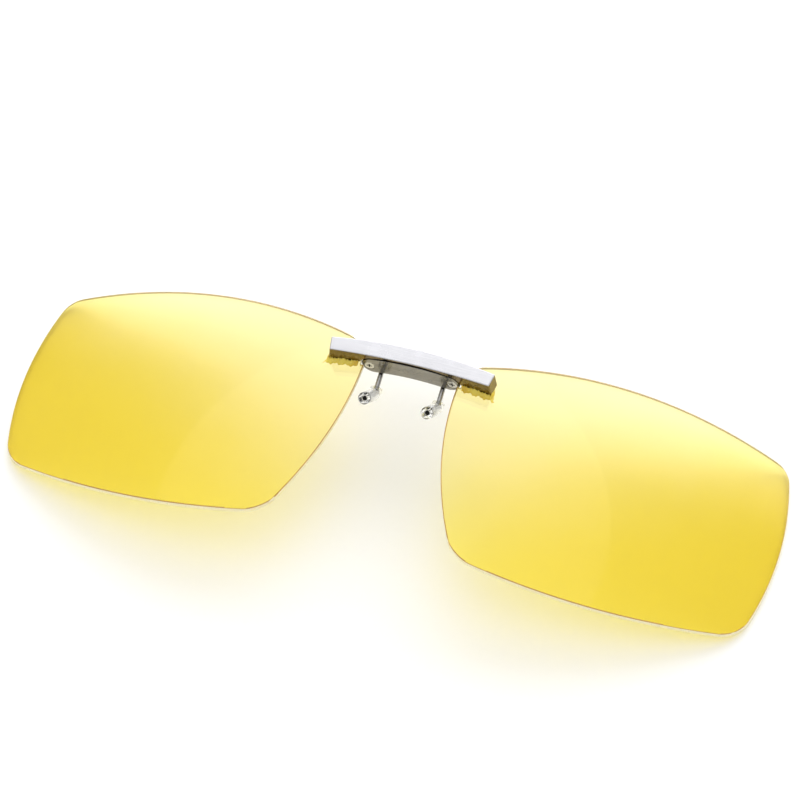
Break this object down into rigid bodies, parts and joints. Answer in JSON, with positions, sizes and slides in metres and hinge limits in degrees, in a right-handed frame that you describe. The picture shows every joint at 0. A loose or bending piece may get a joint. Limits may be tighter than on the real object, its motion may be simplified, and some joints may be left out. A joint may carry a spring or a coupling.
{
  "type": "clip-on sunglasses",
  "caption": "Rimless clip-on glasses: curved yellow lenses bonded to a slim satin metal bridge bar with a sprung hook clip behind it.",
  "frame": {"origin": "on the surface the glasses lie on, below the middle of the pair", "axes": "+X along the pair, +Y towards the brow, +Z out of the front of the lenses, which face up"},
  "size_m": [0.1392, 0.0438, 0.0179],
  "materials": {
    "satin_alloy": "satin, faint lengthwise grain, bright broken edges",
    "plate_steel": "polished",
    "screw_steel": "turned",
    "pin_steel": "ground",
    "rocker_steel": "tumbled",
    "spring_steel": "drawn wire",
    "hook_steel": "polished wire",
    "clear_silicone": "clear and soft",
    "yellow_lens": "clear, hard coated",
    "amber_adhesive": "cured clear adhesive tinted by the lens"
  },
  "bodies": {
    "bridge": {"bridge_bar": "satin_alloy", "cover_plate": "plate_steel", "cover_screw_left": "screw_steel", "cover_screw_right": "screw_steel", "hinge_pin": "pin_steel", "torsion_spring_left": "spring_steel", "torsion_spring_right": "spring_steel", "lens_left": "yellow_lens", "lens_right": "yellow_lens", "lens_adhesive_left": "amber_adhesive", "lens_adhesive_right": "amber_adhesive"},
    "clip": {"rocker": "rocker_steel", "hook_wire_left": "hook_steel", "hook_wire_right": "hook_steel", "hook_sleeve_left": "clear_silicone", "hook_sleeve_right": "clear_silicone"}
  },
  "joints": [
    {"name": "clip_hinge", "type": "hinge", "parent": "bridge", "child": "clip", "pos_m": [0, 0.01362, 0.01333], "axis": [1, 0, 0], "range_deg": [0, 40], "stiffness_Nm_per_rad": 0.0115, "springref_deg": -28.65, "deforming": ["torsion_spring_left", "torsion_spring_right"]}
  ]
}
